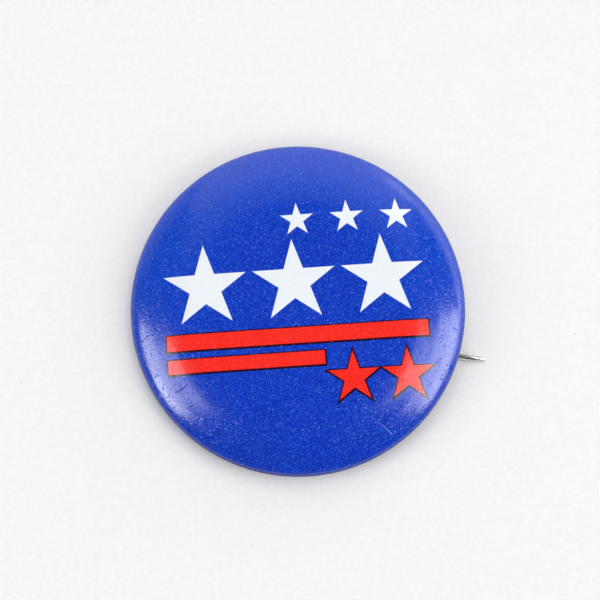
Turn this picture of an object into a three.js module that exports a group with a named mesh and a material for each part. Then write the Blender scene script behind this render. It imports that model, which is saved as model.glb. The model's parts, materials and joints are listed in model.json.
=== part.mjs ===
// Round pin-back button badge with an open back and a one-piece spring pin, shown unlatched.
//
// Millimetres, +Z up. The origin is the middle of the front face, on the badge's axis.
// +Z points out of the face, +Y to the top of the artwork and +X to its right.
//
// A domed tinplate body carries a printed paper disc and a clear cover film. Both are wrapped
// round the body's edge, and a steel collet ring pressed into the back clamps them. The pin is
// one steel wire: a ring sprung into the groove inside the collet, a tight bend, and an arm that
// crosses the back and runs out past the rim to a ground point.

import * as THREE from 'three';

// The badge.
const badgeRadius = 22.225; // a 1 3/4 inch button
const faceFlat = 1.5; // radius of the flat at the very middle of the dome
const faceDrop = 0.25; // fall of the gentle dome, from the middle out to the rim
const domeMiddle = 7.5; // radius of the one extra step between the flat and the shoulder
const shoulderStart = 13.3; // radius where the rounded shoulder begins
const shoulderWidth = 9.65; // half-axes of the shoulder's ellipse
const shoulderDepth = 4.66;
const shoulderEnd = 62.6; // degrees of the ellipse, where the tight edge takes over
const rimTurnZ = -4.65; // where the skirt's straight wall ends and its edge turns under

// The layers, from the outside in.
const layerGap = 0.02;
const filmThickness = 0.1;
const paperThickness = 0.12;
const plateThickness = 0.28;
const paperDepth = filmThickness + layerGap;
const plateDepth = paperDepth + paperThickness + layerGap;
const plateMiddle = plateDepth + plateThickness / 2; // the line that the layers wrap round
const filmTuckZ = -3.9; // upper end of the film tucked inside the skirt
const paperTuckZ = -4.0;

// The collet ring.
const backZ = -5.2; // the plane that the badge's back rests on
const colletThickness = 0.28;
const colletFit = 0.03; // clearance inside the tucked layers
const colletRadius = badgeRadius - 2 * plateMiddle - colletFit;
const colletTopZ = -3.6;
const colletCorner = 0.45;
const colletMouth = 18.2; // radius of the opening in the back
const lipCorner = 0.35;
const lipTopZ = -4.78;

// The spring pin.
const wireRadius = 0.57; // of 0.045 inch spring wire
const ringRadius = 20.35; // to the wire's centreline
const ringZ = -4.05;
const ringSweep = 310; // degrees of the groove that the ring fills
const bendRadius = 1.6;
const armHeading = -13.4; // degrees, from +X
const armOffset = -2.24; // how far the arm's line passes from the badge's axis
const armUnderRim = 0.12; // clearance where the arm passes below the collet
const armRoot = -17.4; // where the arm starts to lift, measured along its heading
const armTip = 26.05;
const pointLength = 3.8;
const pointFullness = 2.6; // 1 is a straight cone, and more is a fuller point
const rootGap = 0.1;

// Facets.
const turnSegments = 48;
const shoulderSteps = 5;
const tightSteps = 3;
const edgeSteps = 5;
const cornerSteps = 3;
const rootSteps = 4;
const pointSteps = 5;
const wireSides = 10;
const ringSteps = 44;
const bendSteps = 8;
const stubSteps = 2;
const armSides = 12;

const radians = THREE.MathUtils.degToRad;

// ---------------------------------------------------------------- profiles

// Height of the gentle dome at a radius, before the shoulder falls away from it.
function domeZ(r) {
  return (-faceDrop * (r ** 2 - faceFlat ** 2)) / (badgeRadius ** 2 - faceFlat ** 2);
}

function domeSlope(r) {
  return (-2 * faceDrop * r) / (badgeRadius ** 2 - faceFlat ** 2);
}

// A point of the shoulder's outer surface, and the direction of the surface there.
function shoulderPoint(degrees) {
  const t = radians(degrees);
  const r = shoulderStart + shoulderWidth * Math.sin(t);
  const z = domeZ(r) - shoulderDepth * (1 - Math.cos(t));
  const dr = shoulderWidth * Math.cos(t);
  const dz = domeSlope(r) * dr - shoulderDepth * Math.sin(t);
  const length = Math.hypot(dr, dz);
  return { r, z, dr: dr / length, dz: dz / length };
}

// The domed face from the axis out to the top of the skirt, depth below the outer surface. The
// shoulder ends in a tight arc that turns straight down at the badge's full radius.
function facePath(depth) {
  const path = [new THREE.Vector2(0, -depth), new THREE.Vector2(faceFlat, -depth)];
  for (const r of [domeMiddle, shoulderStart]) {
    path.push(new THREE.Vector2(r, domeZ(r) - depth));
  }
  for (let i = 1; i <= shoulderSteps; i++) {
    const { r, z, dr, dz } = shoulderPoint((shoulderEnd * i) / shoulderSteps);
    path.push(new THREE.Vector2(r + depth * dz, z - depth * dr));
  }
  const { r, z, dr, dz } = shoulderPoint(shoulderEnd);
  const tightRadius = (badgeRadius - r) / (1 + dz);
  const start = THREE.MathUtils.radToDeg(Math.atan2(dr, -dz));
  const centreR = r + tightRadius * dz;
  const centreZ = z - tightRadius * dr;
  const turn = arc(centreR, centreZ, tightRadius - depth, start, 0, tightSteps);
  return [...path, ...turn.slice(1)];
}

// Points of an arc about (r, z), from one angle to another, in degrees.
function arc(r, z, radius, from, to, steps) {
  const points = [];
  for (let i = 0; i <= steps; i++) {
    const angle = radians(from + ((to - from) * i) / steps);
    points.push(new THREE.Vector2(r + radius * Math.cos(angle), z + radius * Math.sin(angle)));
  }
  return points;
}

// The half turn round the lower edge of the skirt.
function edgeTurn(depth) {
  return arc(badgeRadius - plateMiddle, rimTurnZ, plateMiddle - depth, 0, -180, edgeSteps);
}

// A face wrapped round the skirt's edge and tucked up inside it.
function wrappedPath(depth, tuckZ) {
  const tuckRadius = badgeRadius - 2 * plateMiddle + depth;
  return [...facePath(depth), ...edgeTurn(depth), new THREE.Vector2(tuckRadius, tuckZ)];
}

function wrappedLayer(depth, thickness, tuckZ) {
  return [...wrappedPath(depth, tuckZ), ...wrappedPath(depth + thickness, tuckZ).reverse()];
}

function plateProfile() {
  return [
    ...facePath(plateDepth),
    ...edgeTurn(plateDepth),
    ...facePath(plateDepth + plateThickness).reverse(),
  ];
}

function colletProfile() {
  const wall = colletRadius - colletThickness;
  const floorZ = backZ + colletThickness;
  const innerCorner = colletCorner - colletThickness;
  const innerLip = lipCorner - colletThickness;
  return [
    new THREE.Vector2(colletRadius, colletTopZ),
    ...arc(colletRadius - colletCorner, backZ + colletCorner, colletCorner, 0, -90, cornerSteps),
    ...arc(colletMouth + lipCorner, backZ + lipCorner, lipCorner, -90, -180, cornerSteps),
    new THREE.Vector2(colletMouth, lipTopZ),
    new THREE.Vector2(colletMouth + colletThickness, lipTopZ),
    new THREE.Vector2(colletMouth + colletThickness, floorZ + innerLip),
    new THREE.Vector2(colletMouth + lipCorner, floorZ),
    new THREE.Vector2(wall - innerCorner, floorZ),
    new THREE.Vector2(wall, floorZ + innerCorner),
    new THREE.Vector2(wall, colletTopZ),
    new THREE.Vector2(colletRadius, colletTopZ),
  ];
}

// The arm along its own axis: a round root, the wire and the ground point.
function armProfile(length) {
  const profile = arc(0, 0, wireRadius, -90, 0, rootSteps);
  for (let i = 0; i < pointSteps; i++) {
    const along = i / pointSteps;
    const r = wireRadius * (1 - along ** pointFullness);
    profile.push(new THREE.Vector2(r, length - pointLength * (1 - along)));
  }
  profile.push(new THREE.Vector2(0, length));
  return profile;
}

// ---------------------------------------------------------------- the wire's route

// The route is laid out along the arm: u is measured along the arm's heading, v across it.
const bendU = -Math.sqrt((ringRadius - bendRadius) ** 2 - (armOffset - bendRadius) ** 2);
const bendV = armOffset - bendRadius;
const bendStart = Math.atan2(bendV, bendU); // where round the ring the bend begins
const armFall = (backZ - wireRadius - armUnderRim - ringZ) / (colletMouth - bendU);

function armPoint(u) {
  return new THREE.Vector3(u, armOffset, ringZ + armFall * (u - bendU));
}

// The ring, the root bend and the short stub of arm, as one curve. Its steps are shared out so
// that the tight bend gets as many as it needs.
class RingPath extends THREE.Curve {
  getUtoTmapping(u) {
    return u;
  }

  getPoint(t, target = new THREE.Vector3()) {
    const step = t * (ringSteps + bendSteps + stubSteps);
    if (step <= ringSteps) {
      const angle = bendStart + radians(ringSweep) * (1 - step / ringSteps);
      return target.set(ringRadius * Math.cos(angle), ringRadius * Math.sin(angle), ringZ);
    }
    if (step <= ringSteps + bendSteps) {
      const share = (step - ringSteps) / bendSteps;
      const angle = THREE.MathUtils.lerp(bendStart, -1.5 * Math.PI, share);
      return target.set(
        bendU + bendRadius * Math.cos(angle),
        bendV + bendRadius * Math.sin(angle),
        ringZ,
      );
    }
    const share = (step - ringSteps - bendSteps) / stubSteps;
    const stubEnd = armRoot - wireRadius - rootGap;
    return target.copy(armPoint(THREE.MathUtils.lerp(bendU, stubEnd, share)));
  }
}

// ---------------------------------------------------------------- pieces

// Turns a profile that runs out along its top and back underneath, so its faces point outwards.
function turned(profile) {
  const geometry = new THREE.LatheGeometry(profile.reverse(), turnSegments);
  geometry.rotateX(Math.PI / 2);
  return geometry;
}

function wireSection() {
  const outline = [];
  for (let i = 0; i < wireSides; i++) {
    const angle = (i / wireSides) * 2 * Math.PI;
    outline.push(new THREE.Vector2(wireRadius * Math.cos(angle), wireRadius * Math.sin(angle)));
  }
  return new THREE.Shape(outline);
}

function ringGeometry() {
  return new THREE.ExtrudeGeometry(wireSection(), {
    steps: ringSteps + bendSteps + stubSteps,
    extrudePath: new RingPath(),
  });
}

function armGeometry() {
  const root = armPoint(armRoot);
  const direction = armPoint(armTip).sub(root);
  const geometry = new THREE.LatheGeometry(armProfile(direction.length()), armSides);
  const turn = new THREE.Quaternion().setFromUnitVectors(
    new THREE.Vector3(0, 1, 0),
    direction.clone().normalize(),
  );
  geometry.applyQuaternion(turn);
  geometry.translate(root.x, root.y, root.z);
  return geometry;
}

function piece(name, geometry, material) {
  const mesh = new THREE.Mesh(geometry, material);
  mesh.name = name;
  return mesh;
}

function makeBody() {
  const tinplate = new THREE.MeshStandardMaterial({
    color: 0xa9a8a4,
    roughness: 0.38,
    metalness: 1,
  });
  const print = new THREE.MeshStandardMaterial({
    color: 0x1a3eb7,
    roughness: 0.6,
    metalness: 0,
  });
  const film = new THREE.MeshStandardMaterial({
    color: 0x2f55cc,
    roughness: 0.25,
    metalness: 0,
    transparent: true,
    opacity: 0.4,
  });
  const steel = new THREE.MeshStandardMaterial({
    color: 0x8f8d88,
    roughness: 0.35,
    metalness: 1,
  });
  return [
    piece('tin_body', turned(plateProfile()), tinplate),
    piece('printed_paper', turned(wrappedLayer(paperDepth, paperThickness, paperTuckZ)), print),
    piece('cover_film', turned(wrappedLayer(0, filmThickness, filmTuckZ)), film),
    piece('collet_ring', turned(colletProfile()), steel),
  ];
}

function makePin() {
  const wire = new THREE.MeshStandardMaterial({
    color: 0x9b9890,
    roughness: 0.3,
    metalness: 1,
  });
  const pin = new THREE.Group();
  pin.add(piece('pin_spring_ring', ringGeometry(), wire), piece('pin_arm', armGeometry(), wire));
  pin.rotation.z = radians(armHeading);
  return pin;
}

const badge = new THREE.Group();
badge.add(...makeBody(), makePin());

export default badge;
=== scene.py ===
import json
import math
from collections import namedtuple

import bpy
from mathutils import Matrix, Vector


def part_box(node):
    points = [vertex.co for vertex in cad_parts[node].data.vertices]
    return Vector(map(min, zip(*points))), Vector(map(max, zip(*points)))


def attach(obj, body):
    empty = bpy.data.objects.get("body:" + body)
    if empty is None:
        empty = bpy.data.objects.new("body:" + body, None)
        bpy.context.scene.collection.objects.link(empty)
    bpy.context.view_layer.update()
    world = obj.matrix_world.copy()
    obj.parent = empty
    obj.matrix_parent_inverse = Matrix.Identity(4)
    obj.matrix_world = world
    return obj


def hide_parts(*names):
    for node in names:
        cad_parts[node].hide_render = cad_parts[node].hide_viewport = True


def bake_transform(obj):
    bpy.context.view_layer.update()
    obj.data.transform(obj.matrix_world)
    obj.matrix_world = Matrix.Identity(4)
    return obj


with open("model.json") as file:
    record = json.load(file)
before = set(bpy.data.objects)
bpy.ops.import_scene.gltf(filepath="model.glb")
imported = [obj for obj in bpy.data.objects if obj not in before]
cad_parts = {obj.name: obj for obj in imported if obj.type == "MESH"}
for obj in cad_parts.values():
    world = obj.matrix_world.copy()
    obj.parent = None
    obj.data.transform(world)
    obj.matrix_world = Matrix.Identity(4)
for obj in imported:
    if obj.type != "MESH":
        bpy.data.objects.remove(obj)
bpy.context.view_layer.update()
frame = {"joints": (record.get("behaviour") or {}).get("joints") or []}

# Looks of a round pin-back button badge. Lengths are in metres, in the CAD frame: the origin is the
# middle of the front face, +Z points out of it and +Y to the top of the artwork. The materials are
# laid out in millimetres in the same frame.

MM = 0.001
UP = Vector((0, 0, 1))

# ------------------------------------------------------------------ sizes

# Read from the frame.
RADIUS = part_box("cover_film")[1].x
BACK_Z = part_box("collet_ring")[0].z
COLLET_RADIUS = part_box("collet_ring")[1].x
COLLET_TOP_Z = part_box("collet_ring")[1].z
RING_Z = sum(corner.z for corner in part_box("pin_spring_ring")) / 2
ROOT_JOINT = next(joint for joint in frame["joints"] if joint["name"] == "pin_lift")
ROOT = Vector(ROOT_JOINT["pos_m"])
ACROSS = Vector(ROOT_JOINT["axis"])  # across the pin's arm, in the plane of the badge
ALONG = ACROSS.cross(UP)  # along the arm, towards its point

# The domed face and the layers under it, as in the CAD.
FACE_FLAT = 1.5 * MM
FACE_DROP = 0.25 * MM
SHOULDER_START = 13.3 * MM
SHOULDER_WIDTH = 9.65 * MM
SHOULDER_DEPTH = 4.66 * MM
SHOULDER_END = 62.6  # degrees of the ellipse, where the tight edge takes over
RIM_TURN_Z = -4.65 * MM
FILM = 0.1 * MM
PAPER = 0.12 * MM
PLATE = 0.28 * MM
LAYER_GAP = 0.02 * MM
PAPER_DEPTH = FILM + LAYER_GAP
PLATE_DEPTH = PAPER_DEPTH + PAPER + LAYER_GAP
PLATE_MIDDLE = PLATE_DEPTH + PLATE / 2
FILM_TUCK_Z = -3.9 * MM
PAPER_TUCK_Z = -4.0 * MM

# The collet ring.
COLLET = 0.28 * MM
COLLET_CORNER = 0.45 * MM
COLLET_MOUTH = 18.2 * MM
LIP_CORNER = 0.35 * MM
LIP_TOP_Z = -4.78 * MM

# The pin.
WIRE = 0.57 * MM  # radius
RING_RADIUS = 20.35 * MM
RING_SWEEP = 310  # degrees
BEND_RADIUS = 1.6 * MM
BEND_END = -270  # degrees round the bend, where the arm starts
ARM_OFFSET = -2.24 * MM
ARM_TIP = 26.05 * MM
POINT_LENGTH = 3.8 * MM
POINT_FULLNESS = 2.6  # 1 is a straight cone, and more is a fuller point
POINT_TIP = 0.015 * MM  # radius
ARM_UNDER_RIM = 0.12 * MM

# How finely the pieces are cut.
FACE_SEGMENTS = 288
METAL_SEGMENTS = 240
WIRE_SIDES = 20
SHARP_EDGE = 38  # degrees between faces, above which an edge isn't smoothed
ON_AXIS = 1e-9

# The artwork is square to the frame and a little tilted in the camera's view.
ART_TILT = 3.9  # degrees


# ------------------------------------------------------------------ meshes


def make_object(name, verts, faces, material):
    mesh = bpy.data.meshes.new(name)
    mesh.from_pydata([tuple(v) for v in verts], [], faces)
    mesh.validate()
    mesh.polygons.foreach_set("use_smooth", [True] * len(mesh.polygons))
    mesh.set_sharp_from_angle(angle=math.radians(SHARP_EDGE))
    mesh.materials.append(material)
    obj = bpy.data.objects.new(name, mesh)
    bpy.context.scene.collection.objects.link(obj)
    return obj


def revolve(profile, segments):
    """Vertices and faces of a solid of revolution. The profile runs out along the top of the
    solid and back underneath, and starts and ends on the axis or closes on itself."""
    verts, rings = [], []
    for r, z in profile:
        if r < ON_AXIS:
            rings.append([len(verts)])
            verts.append(Vector((0, 0, z)))
            continue
        rings.append(range(len(verts), len(verts) + segments))
        for i in range(segments):
            angle = 2 * math.pi * i / segments
            verts.append(Vector((r * math.cos(angle), r * math.sin(angle), z)))
    pairs = list(zip(rings, rings[1:]))
    if len(rings[0]) > 1:
        pairs.append((rings[-1], rings[0]))
    faces = []
    for a, b in pairs:
        for i in range(segments):
            j = (i + 1) % segments
            if len(a) == 1 and len(b) == 1:
                continue
            if len(a) == 1:
                faces.append((a[0], b[i], b[j]))
            elif len(b) == 1:
                faces.append((a[j], a[i], b[0]))
            else:
                faces.append((a[j], a[i], b[i], b[j]))
    return verts, faces


def sweep(path, radii, sides):
    """Vertices and faces of a closed tube along a list of points, with a radius at each."""
    count = len(path)
    verts, faces = [], []
    for i, (point, radius) in enumerate(zip(path, radii)):
        ahead = (path[min(i + 1, count - 1)] - path[max(i - 1, 0)]).normalized()
        side = ahead.cross(UP).normalized()
        top = side.cross(ahead)
        for k in range(sides):
            angle = 2 * math.pi * k / sides
            verts.append(point + (side * math.cos(angle) + top * math.sin(angle)) * radius)
    for i in range(count - 1):
        for k in range(sides):
            after = (k + 1) % sides
            a, b = i * sides, (i + 1) * sides
            faces.append((a + k, b + k, b + after, a + after))
    faces.append(tuple(range(sides)))
    faces.append(tuple(range((count - 1) * sides, count * sides))[::-1])
    return verts, faces


def arc(r, z, radius, start, end, steps):
    """Points of an arc about (r, z), from one angle to another, in degrees."""
    points = []
    for i in range(steps + 1):
        angle = math.radians(start + (end - start) * i / steps)
        points.append((r + radius * math.cos(angle), z + radius * math.sin(angle)))
    return points


# ------------------------------------------------------------------ profiles


def dome_z(r):
    return -FACE_DROP * (r**2 - FACE_FLAT**2) / (RADIUS**2 - FACE_FLAT**2)


def dome_slope(r):
    return -2 * FACE_DROP * r / (RADIUS**2 - FACE_FLAT**2)


def shoulder_point(degrees):
    """A point of the shoulder's ellipse and the direction of the surface there."""
    t = math.radians(degrees)
    r = SHOULDER_START + SHOULDER_WIDTH * math.sin(t)
    z = dome_z(r) - SHOULDER_DEPTH * (1 - math.cos(t))
    dr = SHOULDER_WIDTH * math.cos(t)
    dz = dome_slope(r) * dr - SHOULDER_DEPTH * math.sin(t)
    length = math.hypot(dr, dz)
    return r, z, dr / length, dz / length


def face_path(depth, dome_steps=14, shoulder_steps=40, edge_steps=12):
    """The domed face from the axis to the top of the skirt, depth below the outer surface."""
    path = [(0, -depth), (FACE_FLAT, -depth)]
    for i in range(1, dome_steps + 1):
        r = FACE_FLAT + (SHOULDER_START - FACE_FLAT) * i / dome_steps
        path.append((r, dome_z(r) - depth))
    for i in range(1, shoulder_steps + 1):
        r, z, dr, dz = shoulder_point(SHOULDER_END * i / shoulder_steps)
        path.append((r + depth * dz, z - depth * dr))
    r, z, dr, dz = shoulder_point(SHOULDER_END)
    radius = (RADIUS - r) / (1 + dz)
    start = math.degrees(math.atan2(dr, -dz))
    edge = arc(r + radius * dz, z - radius * dr, radius - depth, start, 0, edge_steps)
    return path + edge[1:]


def skirt_wall(r, top_z, bottom_z, steps=3):
    """The points between the two ends of the skirt's straight wall."""
    return [(r, top_z + (bottom_z - top_z) * i / steps) for i in range(1, steps)]


def edge_turn(depth, steps=12):
    """The half turn round the plate's bottom edge, depth below the outer surface."""
    return arc(RADIUS - PLATE_MIDDLE, RIM_TURN_Z, PLATE_MIDDLE - depth, 0, -180, steps)


def wrapped_path(depth, tuck_z):
    """The side of a layer, from the axis over the face and round the edge to its tucked end."""
    face = face_path(depth)
    wall = skirt_wall(face[-1][0], face[-1][1], RIM_TURN_Z)
    tuck_r = RADIUS - 2 * PLATE_MIDDLE + depth
    return face + wall + edge_turn(depth) + [(tuck_r, tuck_z)]


def plate_profile():
    return face_path(PLATE_DEPTH) + edge_turn(PLATE_DEPTH) + face_path(PLATE_DEPTH + PLATE)[::-1]


def collet_profile():
    """A channel that opens towards the front: its outer wall is pressed into the body, and its
    lip holds the pin's ring. All its corners and edges are round."""
    rounded = COLLET / 2
    wall = COLLET_RADIUS - COLLET
    floor_z = BACK_Z + COLLET
    inner_corner = COLLET_CORNER - COLLET
    lip_r, lip_z = COLLET_MOUTH + LIP_CORNER, BACK_Z + LIP_CORNER
    outer = arc(COLLET_RADIUS - COLLET_CORNER, BACK_Z + COLLET_CORNER, COLLET_CORNER, 0, -90, 8)
    lip = arc(lip_r, lip_z, LIP_CORNER, -90, -180, 8)
    lip_top = arc(COLLET_MOUTH + rounded, LIP_TOP_Z - rounded, rounded, 180, 0, 6)
    lip_foot = arc(lip_r, lip_z, LIP_CORNER - COLLET, -180, -90, 3)
    corner = arc(wall - inner_corner, floor_z + inner_corner, inner_corner, -90, 0, 4)
    wall_top = arc(COLLET_RADIUS - rounded, COLLET_TOP_Z - rounded, rounded, 180, 0, 6)
    return outer + lip + lip_top + lip_foot + corner + wall_top


# ------------------------------------------------------------------ the wire's route


def arm_frame(u, v, z):
    """A point given along the arm, across it and up."""
    return ALONG * u + ACROSS * v + Vector((0, 0, z))


BEND_V = ARM_OFFSET - BEND_RADIUS
BEND_U = -math.sqrt((RING_RADIUS - BEND_RADIUS) ** 2 - BEND_V**2)
ARM_FALL = (BACK_Z - WIRE - ARM_UNDER_RIM - RING_Z) / (COLLET_MOUTH - BEND_U)
ARM_ROOT_U = ROOT.dot(ALONG)


def arm_point(u):
    """A point of the arm's middle line, which falls evenly from the bend to clear the collet."""
    return arm_frame(u, ARM_OFFSET, RING_Z + ARM_FALL * (u - BEND_U))


def ring_route(ring_steps=150, bend_steps=18, stub_steps=4):
    """Round the groove, through the tight bend and out to the arm's root."""
    start = math.atan2(BEND_V, BEND_U)
    path = []
    for i in range(ring_steps + 1):
        angle = start + math.radians(RING_SWEEP) * (1 - i / ring_steps)
        u = RING_RADIUS * math.cos(angle)
        v = RING_RADIUS * math.sin(angle)
        path.append(arm_frame(u, v, RING_Z))
    for i in range(1, bend_steps + 1):
        angle = start + (math.radians(BEND_END) - start) * i / bend_steps
        u = BEND_U + BEND_RADIUS * math.cos(angle)
        v = BEND_V + BEND_RADIUS * math.sin(angle)
        path.append(arm_frame(u, v, RING_Z))
    for i in range(1, stub_steps + 1):
        path.append(arm_point(BEND_U + (ARM_ROOT_U - BEND_U) * i / stub_steps))
    return path


def arm_route(shaft_steps=40, point_steps=24):
    """The arm from its root to its ground point, and the wire's radius along it."""
    path, radii = [], []
    point_start = ARM_TIP - POINT_LENGTH
    for i in range(shaft_steps + 1):
        path.append(arm_point(ARM_ROOT_U + (point_start - ARM_ROOT_U) * i / shaft_steps))
        radii.append(WIRE)
    for i in range(1, point_steps + 1):
        along = i / point_steps
        path.append(arm_point(point_start + POINT_LENGTH * along))
        radii.append(max(WIRE * (1 - along**POINT_FULLNESS), POINT_TIP))
    return path, radii


# ------------------------------------------------------------------ material nodes


class Nodes:
    """Builds a material's node tree from expressions."""

    def __init__(self, name):
        self.material = bpy.data.materials.new(name)
        self.material.use_nodes = True
        self.tree = self.material.node_tree
        self.shader = self.tree.nodes["Principled BSDF"]
        coords = self.tree.nodes.new("ShaderNodeTexCoord")
        self.place = self.scaled(coords.outputs["Object"], 1 / MM)  # millimetres

    def put(self, socket, value):
        if isinstance(value, bpy.types.NodeSocket):
            self.tree.links.new(value, socket)
        else:
            socket.default_value = value

    def set(self, name, value):
        self.put(self.shader.inputs[name], value)

    def scaled(self, vector, factor):
        node = self.tree.nodes.new("ShaderNodeVectorMath")
        node.operation = "SCALE"
        self.put(node.inputs[0], vector)
        self.put(node.inputs["Scale"], factor)
        return node.outputs[0]

    def split(self, vector):
        node = self.tree.nodes.new("ShaderNodeSeparateXYZ")
        self.put(node.inputs[0], vector)
        return node.outputs[0], node.outputs[1], node.outputs[2]

    def math(self, operation, *values):
        node = self.tree.nodes.new("ShaderNodeMath")
        node.operation = operation
        for socket, value in zip(node.inputs, values):
            self.put(socket, value)
        return node.outputs[0]

    def distance(self, x, y):
        """How far (x, y) is from the origin."""
        squares = self.math("ADD", self.math("MULTIPLY", x, x), self.math("MULTIPLY", y, y))
        return self.math("SQRT", squares)

    def noise(self, scale, detail=2.0, roughness=0.5, distortion=0.0):
        """Noise with scale features to the millimetre."""
        node = self.tree.nodes.new("ShaderNodeTexNoise")
        self.put(node.inputs["Vector"], self.place)
        self.put(node.inputs["Scale"], scale)
        self.put(node.inputs["Detail"], detail)
        self.put(node.inputs["Roughness"], roughness)
        self.put(node.inputs["Distortion"], distortion)
        return node.outputs[0]

    def dots(self, scale, share, radius):
        """Round dots scattered through cells, scale cells to the millimetre, each as strong as a
        number drawn for its cell. share of the cells hold one, and radius is in cells."""
        cell = self.tree.nodes.new("ShaderNodeTexVoronoi")
        self.put(cell.inputs["Vector"], self.place)
        self.put(cell.inputs["Scale"], scale)
        drawn = self.tree.nodes.new("ShaderNodeSeparateColor")
        self.put(drawn.inputs[0], cell.outputs["Color"])
        strength = self.ramp(drawn.outputs[0], 1 - share, 1.0)
        return self.math("MULTIPLY", strength, self.ramp(cell.outputs["Distance"], radius, 0.0))

    def ramp(self, value, low, high, out_low=0.0, out_high=1.0):
        """Goes from out_low to out_high as value goes from low to high, and stays there beyond."""
        node = self.tree.nodes.new("ShaderNodeMapRange")
        for socket, number in zip(node.inputs, (value, low, high, out_low, out_high)):
            self.put(socket, number)
        return node.outputs[0]

    def mix(self, share, a, b):
        """Colour a where share is 0 and colour b where it is 1."""
        node = self.tree.nodes.new("ShaderNodeMix")
        node.data_type = "RGBA"
        colours = [socket for socket in node.inputs if socket.type == "RGBA"]
        self.put(node.inputs[0], share)
        self.put(colours[0], a)
        self.put(colours[1], b)
        return next(socket for socket in node.outputs if socket.type == "RGBA")

    def bump(self, height, distance, normal=None):
        node = self.tree.nodes.new("ShaderNodeBump")
        self.put(node.inputs["Height"], height)
        self.put(node.inputs["Distance"], distance)
        if normal is not None:
            self.put(node.inputs["Normal"], normal)
        return node.outputs[0]


def colour(r, g, b):
    return (r, g, b, 1.0)


# ------------------------------------------------------------------ the printed artwork

# Bars and rows of stars, in millimetres on the face.
Bar = namedtuple("Bar", "centre length height")
StarRow = namedtuple("StarRow", "centre radius pitch count")

LONG_BAR = Bar(centre=(-0.3, -4.1), length=34.3, height=2.05)
SHORT_BAR = Bar(centre=(-7.2, -7.2), length=20.5, height=1.8)
RED_STARS = StarRow(centre=(10.2, -10.1), radius=3.5, pitch=7.1, count=2)
LARGE_STARS = StarRow(centre=(-0.3, 3.0), radius=5.7, pitch=11.7, count=3)
SMALL_STARS = StarRow(centre=(7.2, 11.3), radius=2.3, pitch=6.6, count=3)
STAR_WAIST = 0.382  # of the radius, as in a regular five-pointed star
PRINT_BLUR = 0.03  # half the width of a printed edge
KEYLINE_WIDTH = 0.23
KEYLINE_SHIFT = (0.02, -0.07)  # how far the dark printing lies off the red

# A pair of colours is the two ends of a slight variation.
INK = colour(0.0012, 0.032, 0.475), colour(0.0022, 0.038, 0.525)
INK_GRAIN = colour(0.0004, 0.014, 0.30)
INK_SPECK = colour(0.055, 0.212, 0.94)
# Painted light for the upper shoulder.
INK_PAINTED_LIGHT = colour(0.0020, 0.058, 0.58)
# Painted shade for the rim's wall.
INK_PAINTED_SHADE = colour(0.0020, 0.008, 0.11)
WHITE = colour(0.80, 0.845, 0.89), colour(0.83, 0.87, 0.91)
RED = colour(0.86, 0.018, 0.011), colour(0.95, 0.033, 0.021)
KEYLINE = colour(0.016, 0.0015, 0.012)

# Painted light on the ink towards the top of the shoulder: over these radii, and up the face over these y.
PAINTED_LIGHT_RADII = (10.0, 19.0)
PAINTED_LIGHT_Y = (-12.0, 8.0)
PAINTED_LIGHT_STRENGTH = 1.15

# Below the rim's start the ink gets painted shade and the film is duller, fully so by these heights.
RIM_START = -2.7
SHADED_BY = -3.3
DULL_BY = -3.5


def star_field(n, x, y, radius):
    """Signed distance, in millimetres, from the edge of a five-pointed star at the origin."""
    turn = math.radians(36)
    waist = STAR_WAIST * radius
    edge = Vector((waist * math.cos(turn) - radius, waist * math.sin(turn)))
    normal = Vector((edge.y, -edge.x)).normalized()
    angle = n.math("ARCTAN2", x, y)
    folded = n.math("ABSOLUTE", n.math("WRAP", angle, turn, -turn))
    along = n.math("MULTIPLY", n.math("COSINE", folded), normal.x)
    across = n.math("MULTIPLY", n.math("SINE", folded), normal.y)
    reach = n.math("MULTIPLY", n.distance(x, y), n.math("ADD", along, across))
    return n.math("SUBTRACT", reach, normal.x * radius)


def star_row_field(n, x, y, row):
    """Signed distance from a row of equal stars about its centre."""
    along = n.math("SUBTRACT", x, row.centre[0])
    shifted = n.math("ADD", along, 0 if row.count % 2 else row.pitch / 2)
    cell = n.math("WRAP", shifted, row.pitch / 2, -row.pitch / 2)
    field = star_field(n, cell, n.math("SUBTRACT", y, row.centre[1]), row.radius)
    outside = n.math("SUBTRACT", n.math("ABSOLUTE", along), row.pitch * row.count / 2)
    return n.math("MAXIMUM", field, outside)


def bar_field(n, x, y, bar):
    """Signed distance from a plain bar about its centre."""
    along = n.math("ABSOLUTE", n.math("SUBTRACT", x, bar.centre[0]))
    up = n.math("ABSOLUTE", n.math("SUBTRACT", y, bar.centre[1]))
    past_end = n.math("SUBTRACT", along, bar.length / 2)
    return n.math("MAXIMUM", past_end, n.math("SUBTRACT", up, bar.height / 2))


def inside(n, field, grow=0.0):
    """1 where the field is below grow, with a soft printed edge."""
    return n.ramp(field, grow + PRINT_BLUR, grow - PRINT_BLUR)


def red_artwork(n, x, y):
    """A long bar over a short one, with two stars beside the short one."""
    bars = n.math("MINIMUM", bar_field(n, x, y, LONG_BAR), bar_field(n, x, y, SHORT_BAR))
    return n.math("MINIMUM", bars, star_row_field(n, x, y, RED_STARS))


def white_artwork(n, x, y):
    """A row of large stars with a row of small ones above."""
    large = star_row_field(n, x, y, LARGE_STARS)
    return n.math("MINIMUM", large, star_row_field(n, x, y, SMALL_STARS))


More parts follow.
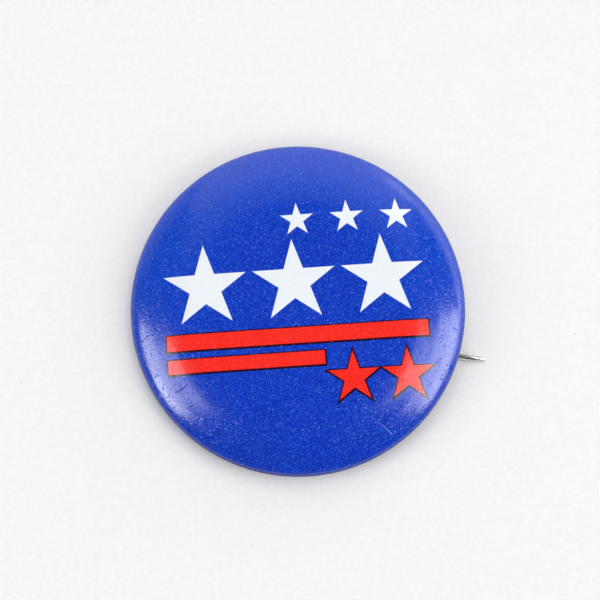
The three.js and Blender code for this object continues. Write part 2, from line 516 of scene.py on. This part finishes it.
def ink_colour(n, grain):
    """The blue field: clouded, painted light on top, painted shade at the rim, grained, specked, scuffed."""
    x, y, z = n.split(n.place)
    cloud = n.noise(0.3, detail=3.0)
    ink = n.mix(n.ramp(cloud, 0.3, 0.7), *INK)
    # Painted light: the ink is lightened towards the top of the shoulder.
    outer = n.ramp(n.distance(x, y), *PAINTED_LIGHT_RADII)
    upper = n.ramp(y, *PAINTED_LIGHT_Y, out_high=PAINTED_LIGHT_STRENGTH)
    ink = n.mix(n.math("MULTIPLY", outer, upper), ink, INK_PAINTED_LIGHT)
    # Painted shade: the ink is darkened below the rim's start.
    ink = n.mix(n.ramp(z, RIM_START, SHADED_BY, out_high=0.85), ink, INK_PAINTED_SHADE)
    ink = n.mix(n.ramp(grain, 0.56, 0.30), ink, INK_GRAIN)
    specks = n.dots(9.5, share=0.45, radius=0.85)
    scuffed = n.math("MULTIPLY", film_pits(n), 0.4)
    return n.mix(n.math("MAXIMUM", specks, scuffed), ink, INK_SPECK)


def print_colour(n, x, y):
    """The printed paper: the blue field, the white artwork, and the red with its dark outline."""
    grain = n.noise(9.0, detail=1.0, roughness=0.6)
    white = n.mix(n.ramp(grain, 0.3, 0.7), *WHITE)
    red = n.mix(n.ramp(grain, 0.35, 0.65), *RED)
    shown = n.mix(inside(n, white_artwork(n, x, y)), ink_colour(n, grain), white)
    shifted_x = n.math("SUBTRACT", x, KEYLINE_SHIFT[0])
    shifted_y = n.math("SUBTRACT", y, KEYLINE_SHIFT[1])
    outline = inside(n, red_artwork(n, shifted_x, shifted_y), KEYLINE_WIDTH)
    shown = n.mix(outline, shown, KEYLINE)
    return n.mix(inside(n, red_artwork(n, x, y)), shown, red)


# ------------------------------------------------------------------ the clear film

# Scratches in the film, in millimetres on the face: where each starts and ends, and how far it
# bows to its left. The dark ones are rough as well as cut in, so they break up a highlight.
Scratch = namedtuple("Scratch", "start end bow")

DARK_SCRATCHES = [
    Scratch((-21.1, -3.6), (-18.9, -2.4), 0.25),
    Scratch((-16.8, -10.4), (-15.0, -9.4), -0.2),
    Scratch((20.2, -4.3), (20.9, -4.7), 0.1),
    Scratch((17.7, -8.9), (18.3, -8.2), 0.1),
    Scratch((17.9, -10.9), (18.7, -11.1), 0.1),
]
LIGHT_SCRATCHES = [
    Scratch((9.4, -16.1), (11.2, -17.7), 0.1),
    Scratch((-9.2, -15.2), (-9.1, -14.6), 0.0),
]
SCRATCH_EDGES = (0.09, 0.03)  # from its middle line, where a scratch begins and where it is full
SCRATCH_FADE = 0.06  # of the length, at each end

# How deep each kind of wear goes, as a share of the relief.
FILM_RELIEF = 0.02 * MM
PIT_DEPTH = 2.0
PORE_DEPTH = 0.7
HAIR_DEPTH = 0.12
SWELL_RELIEF = 0.02 * MM

# Roughness of the film where it is untouched, where it is marked, and round the rim.
GLOSSY = 0.15
MARKED = 0.55
DULL = 0.85
FILM_IOR = 1.6


def scratch_line(n, x, y, scratch):
    """1 along a thin scratch, 0 elsewhere."""
    run = Vector(scratch.end) - Vector(scratch.start)
    length = run.length
    run.normalize()
    from_x = n.math("SUBTRACT", x, scratch.start[0])
    from_y = n.math("SUBTRACT", y, scratch.start[1])
    forward = n.math("MULTIPLY", from_x, run.x / length)
    along = n.math("ADD", forward, n.math("MULTIPLY", from_y, run.y / length))
    leftward = n.math("MULTIPLY", from_y, run.x)
    across = n.math("SUBTRACT", leftward, n.math("MULTIPLY", from_x, run.y))
    parabola = n.math("MULTIPLY", along, n.math("SUBTRACT", 1.0, along))
    arch = n.math("MULTIPLY", parabola, 4 * scratch.bow)
    line = n.ramp(n.math("ABSOLUTE", n.math("SUBTRACT", across, arch)), *SCRATCH_EDGES)
    first = n.ramp(along, 0.0, SCRATCH_FADE)
    last = n.ramp(along, 1.0, 1.0 - SCRATCH_FADE)
    return n.math("MULTIPLY", line, n.math("MULTIPLY", first, last))


def scratches(n, x, y, marks):
    """The strongest of a few scratches, broken up along their length."""
    strongest = scratch_line(n, x, y, marks[0])
    for mark in marks[1:]:
        strongest = n.math("MAXIMUM", strongest, scratch_line(n, x, y, mark))
    return n.math("MULTIPLY", strongest, n.ramp(n.noise(2.2), 0.36, 0.5))


def film_pits(n):
    return n.dots(2.4, share=0.6, radius=0.38)


def film_hairs(n):
    """Fine wandering hairlines, in worn patches only."""
    wander = n.noise(0.7, distortion=1.2)
    hairs = n.ramp(n.math("ABSOLUTE", n.math("SUBTRACT", wander, 0.5)), 0.02, 0.0)
    return n.math("MULTIPLY", hairs, n.ramp(n.noise(0.25), 0.56, 0.66))


def film_height(n, x, y):
    """The film's surface: 1 where it is untouched, and lower in its pits, pores and scratches."""
    pits = n.math("MULTIPLY", film_pits(n), PIT_DEPTH)
    pores = n.math("MULTIPLY", n.dots(6.0, share=0.6, radius=0.7), PORE_DEPTH)
    hairs = n.math("MULTIPLY", film_hairs(n), HAIR_DEPTH)
    depth = n.math("ADD", n.math("ADD", pits, pores), hairs)
    for marks in (DARK_SCRATCHES, LIGHT_SCRATCHES):
        depth = n.math("ADD", depth, scratches(n, x, y, marks))
    return n.math("SUBTRACT", 1.0, depth)


def coated_print_material():
    """The print seen through its glossy clear film, with the film's waviness, pits and wear."""
    n = Nodes("coated_print")
    x, y, z = n.split(n.place)
    n.set("Base Color", print_colour(n, x, y))
    dull_rim = n.ramp(z, RIM_START, DULL_BY, GLOSSY, DULL)
    marks = n.math("MAXIMUM", film_pits(n), scratches(n, x, y, DARK_SCRATCHES))
    n.set("Roughness", n.math("MAXIMUM", dull_rim, n.ramp(marks, 0.05, 0.6, GLOSSY, MARKED)))
    n.set("IOR", FILM_IOR)
    swell = n.bump(n.noise(0.22, detail=1.0), SWELL_RELIEF)
    n.set("Normal", n.bump(film_height(n, x, y), FILM_RELIEF, swell))
    return n.material


# ------------------------------------------------------------------ metal and floor

# grain is in features to the millimetre, and rust is how strongly the rust shows.
Metal = namedtuple("Metal", "light dark roughness grain rust")

TINPLATE = Metal(colour(0.62, 0.61, 0.58), colour(0.40, 0.39, 0.37), roughness=0.32, grain=3.0, rust=0.5)
COLLET_STEEL = Metal(colour(0.66, 0.65, 0.62), colour(0.42, 0.41, 0.38), roughness=0.28, grain=4.0, rust=0.7)
PIN_WIRE = Metal(colour(0.90, 0.89, 0.86), colour(0.55, 0.53, 0.49), roughness=0.28, grain=6.0, rust=0.5)
BRUSHING = 0.004 * MM
RUST = colour(0.13, 0.055, 0.022)
RUST_METALLIC = 0.2
RUST_ROUGHNESS = 0.8

FLOOR_PAPER = colour(0.825, 0.818, 0.821), colour(0.875, 0.867, 0.87)
FLOOR_DUST = colour(0.30, 0.29, 0.28)
FLOOR_ROUGHNESS = 0.9
FLOOR_SPECULAR = 0.1


def steel(name, metal):
    """Worn steel: fine brushed grain, darker patches and a little rust."""
    n = Nodes(name)
    patch = n.noise(0.5, detail=4.0, roughness=0.6)
    fine = n.noise(metal.grain, detail=3.0, roughness=0.6)
    spots = n.noise(1.6, detail=5.0, roughness=0.7)
    base = n.mix(n.ramp(patch, 0.35, 0.7), metal.light, metal.dark)
    base = n.mix(n.ramp(fine, 0.55, 0.8, out_high=0.45), base, metal.dark)
    rusty = n.ramp(spots, 0.66, 0.74, out_high=metal.rust)
    n.set("Base Color", n.mix(rusty, base, RUST))
    n.set("Metallic", n.ramp(rusty, 0.0, 1.0, 1.0, RUST_METALLIC))
    rough = n.ramp(fine, 0.3, 0.8, metal.roughness - 0.07, metal.roughness + 0.13)
    n.set("Roughness", n.math("MAXIMUM", rough, n.math("MULTIPLY", rusty, RUST_ROUGHNESS)))
    n.set("Normal", n.bump(fine, BRUSHING))
    return n.material


def floor_material():
    """Pale matt paper with a little dust."""
    n = Nodes("pale_floor")
    fibre = n.noise(1.6, detail=4.0, roughness=0.7)
    paper = n.mix(n.ramp(fibre, 0.3, 0.7), *FLOOR_PAPER)
    dust = n.math("MULTIPLY", n.dots(0.35, share=0.5, radius=0.06), 0.5)
    n.set("Base Color", n.mix(dust, paper, FLOOR_DUST))
    n.set("Roughness", FLOOR_ROUGHNESS)
    n.set("Specular IOR Level", FLOOR_SPECULAR)
    return n.material


# ------------------------------------------------------------------ pieces


def add_face():
    """The printed paper and the clear film bonded over it: one sheet, wrapped round the edge."""
    top = wrapped_path(0, FILM_TUCK_Z)
    underside = wrapped_path(PAPER_DEPTH + PAPER, PAPER_TUCK_Z)
    verts, faces = revolve(top + underside[::-1], FACE_SEGMENTS)
    sheet = make_object("coated_print", verts, faces, coated_print_material())
    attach(sheet, "badge")
    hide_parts("printed_paper", "cover_film")


def add_plate():
    verts, faces = revolve(plate_profile(), METAL_SEGMENTS)
    plate = make_object("tin_body_fine", verts, faces, steel("tinplate", TINPLATE))
    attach(plate, "badge")
    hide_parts("tin_body")


def add_collet():
    verts, faces = revolve(collet_profile(), METAL_SEGMENTS)
    collet = make_object("collet_ring_fine", verts, faces, steel("collet_steel", COLLET_STEEL))
    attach(collet, "badge")
    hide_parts("collet_ring")


def add_pin():
    """One wire in two pieces: the spring ring, and the arm."""
    wire = steel("pin_wire", PIN_WIRE)
    ring_path = ring_route()
    verts, faces = sweep(ring_path, [WIRE] * len(ring_path), WIRE_SIDES)
    ring = make_object("spring_ring_fine", verts, faces, wire)
    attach(ring, "spring_ring")
    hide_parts("pin_spring_ring")
    verts, faces = sweep(*arm_route(), WIRE_SIDES)
    arm = make_object("pin_arm_fine", verts, faces, wire)
    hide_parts("pin_arm")
    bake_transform(arm)


# ------------------------------------------------------------------ floor, light and camera

HEADING = math.radians(90 - ART_TILT)  # the picture's upward direction, seen from above
PICTURE_UP = Vector((math.cos(HEADING), math.sin(HEADING), 0))
PICTURE_RIGHT = Vector((PICTURE_UP.y, -PICTURE_UP.x, 0))

FLOOR_REACH = 1.5  # metres, to each side
FLOOR_STEPS = 12

# A side light is a tall softbox in bands, from low to high. Its angle is round the picture,
# anticlockwise from the right, and wash is the share of its light that reaches matt surfaces as
# well as glossy ones. A band is its lowest and highest elevation and its spread, in degrees, and
# the radiance of its front, which is highest at the foot of the box.
Band = namedtuple("Band", "low high spread radiance")
SideLight = namedtuple("SideLight", "name angle distance wash bands")
MattLight = namedtuple("MattLight", "name angle elevation distance size radiance")

LEFT_BOX = [Band(29, 42, 32, 6.4), Band(42, 62, 22, 3.9)]
RIGHT_BOX = [Band(13, 30, 38, 7.7), Band(30, 48, 33, 6.0), Band(48, 67, 20, 3.3)]
BACK_WALL = [Band(0, 44, 70, 0.9), Band(44, 56, 60, 0.6), Band(56, 70, 50, 0.35)]
SIDE_LIGHTS = [
    SideLight("left_box", 198, 0.7, 0.45, LEFT_BOX),
    SideLight("left_foot", 188, 0.7, 0.45, [Band(17, 29, 22, 7.1)]),
    SideLight("left_corner", 206, 0.7, 0.45, [Band(17, 29, 15, 12.0)]),
    SideLight("right_box", -12, 0.7, 0.35, RIGHT_BOX),
    SideLight("right_foot", 3, 0.8, 0.4, [Band(4, 12.5, 26, 3.6)]),
    SideLight("back_wall", 88, 1.2, 1.0, BACK_WALL),
    SideLight("back_right_foot", 38, 1.0, 1.0, [Band(0, 18, 46, 1.5)]),
    SideLight("back_left_foot", 143, 1.0, 1.0, [Band(0, 24, 30, 0.4)]),
]
MATT_LIGHTS = [
    MattLight("overhead_key", 66, 76, 0.8, 0.8, 1.88),
    MattLight("front_fill", 306, 26, 0.7, 0.6, 1.2),
]
SHEEN_SETBACK = 0.01
SKY = colour(0.95, 0.96, 1.0)
SKY_STRENGTH = 0.05

CAMERA_ELEVATION = 80  # degrees, from the front of the object
LENS, SENSOR = 100.0, 36.0  # millimetres of camera
VIEW_WIDTH = 79.9 * MM
AIM_RIGHT, AIM_UP = 0.27 * MM, 1.17 * MM  # off the badge's middle
CLIP_START, CLIP_END = 0.01, 20.0


def floor_plane():
    """A point of the floor and its normal: it touches the pin under the rim and the far side of
    the collet, because the unlatched pin props the badge up."""
    low = arm_point(ARM_TIP - POINT_LENGTH) - Vector((0, 0, WIRE))
    out = Vector((low.x, low.y, 0))
    reach = out.length
    out.normalize()
    rest_radius = COLLET_RADIUS - COLLET_CORNER
    rise = (low.z - BACK_Z) / (reach + rest_radius)
    return low, (UP - out * rise).normalized()


def add_floor():
    point, normal = floor_plane()
    tilt = UP.rotation_difference(normal).to_matrix()
    steps = range(FLOOR_STEPS + 1)
    places = [(i / FLOOR_STEPS - 0.5) * 2 * FLOOR_REACH for i in steps]
    verts = [point + tilt @ Vector((x, y, 0)) for x in places for y in places]
    faces = []
    for i in range(FLOOR_STEPS):
        for j in range(FLOOR_STEPS):
            a = i * len(steps) + j
            b = a + len(steps)
            faces.append((a, b, b + 1, a + 1))
    floor = make_object("floor", verts, faces, floor_material())


def direction(angle, elevation):
    """A direction given by its angle round the picture and its elevation, in degrees."""
    a, e = math.radians(angle), math.radians(elevation)
    flat = PICTURE_RIGHT * math.cos(a) + PICTURE_UP * math.sin(a)
    return flat * math.cos(e) + Vector((0, 0, math.sin(e)))


def span(degrees, distance):
    """The width that covers an angle as seen from the object."""
    return 2 * distance * math.tan(math.radians(degrees / 2))


def add_softbox(name, angle, elevation, distance, width, height, radiance):
    """A rectangular light that faces the object."""
    light = bpy.data.lights.new(name, "AREA")
    light.shape = "RECTANGLE"
    light.size, light.size_y = width, height
    light.energy = radiance * math.pi * width * height
    obj = bpy.data.objects.new(name, light)
    bpy.context.scene.collection.objects.link(obj)
    away = direction(angle, elevation)
    obj.location = away * distance
    obj.rotation_mode = "QUATERNION"
    obj.rotation_quaternion = away.to_track_quat("Z", "Y")
    return obj


def add_side_light(side):
    """Each band is a softbox for all surfaces and, just behind it, one for glossy ones only."""
    for i, band in enumerate(side.bands):
        name = f"{side.name}_{i + 1}"
        middle = (band.low + band.high) / 2
        size = span(band.spread, side.distance), span(band.high - band.low, side.distance)
        add_softbox(name, side.angle, middle, side.distance, *size, band.radiance * side.wash)
        if side.wash < 1:
            behind = side.distance + SHEEN_SETBACK
            rest = band.radiance * (1 - side.wash)
            sheen = add_softbox(name + "_sheen", side.angle, middle, behind, *size, rest)
            sheen.visible_diffuse = False


def add_matt_light(matt):
    """A square light that falls on matt surfaces only, so that no reflection shows it."""
    size = matt.size, matt.size
    light = add_softbox(matt.name, matt.angle, matt.elevation, matt.distance, *size, matt.radiance)
    light.visible_glossy = False
    light.data.cycles.use_multiple_importance_sampling = False


def add_sky():
    world = bpy.data.worlds.new("studio")
    bpy.context.scene.world = world
    world.use_nodes = True
    background = world.node_tree.nodes["Background"]
    background.inputs["Color"].default_value = SKY
    background.inputs["Strength"].default_value = SKY_STRENGTH


def add_camera():
    """Nearly straight above, from the front of the object."""
    widest_z = face_path(0)[-1][1]
    aim = Vector((0, 0, widest_z)) + PICTURE_RIGHT * AIM_RIGHT + PICTURE_UP * AIM_UP
    elevation = math.radians(CAMERA_ELEVATION)
    back = -PICTURE_UP * math.cos(elevation) + Vector((0, 0, math.sin(elevation)))
    data = bpy.data.cameras.new("camera")
    data.lens, data.sensor_width = LENS, SENSOR
    data.clip_start, data.clip_end = CLIP_START, CLIP_END
    camera = bpy.data.objects.new("camera", data)
    bpy.context.scene.collection.objects.link(camera)
    camera.location = aim + back * (VIEW_WIDTH * LENS / SENSOR)
    camera.rotation_mode = "QUATERNION"
    turned = Matrix((PICTURE_RIGHT, back.cross(PICTURE_RIGHT), back)).transposed()
    camera.rotation_quaternion = turned.to_quaternion()
    bpy.context.scene.camera = camera


add_camera()
add_face()
add_plate()
add_collet()
add_pin()
add_floor()
for side_light in SIDE_LIGHTS:
    add_side_light(side_light)
for matt_light in MATT_LIGHTS:
    add_matt_light(matt_light)
add_sky()
bpy.context.scene.view_settings.view_transform = "Standard"
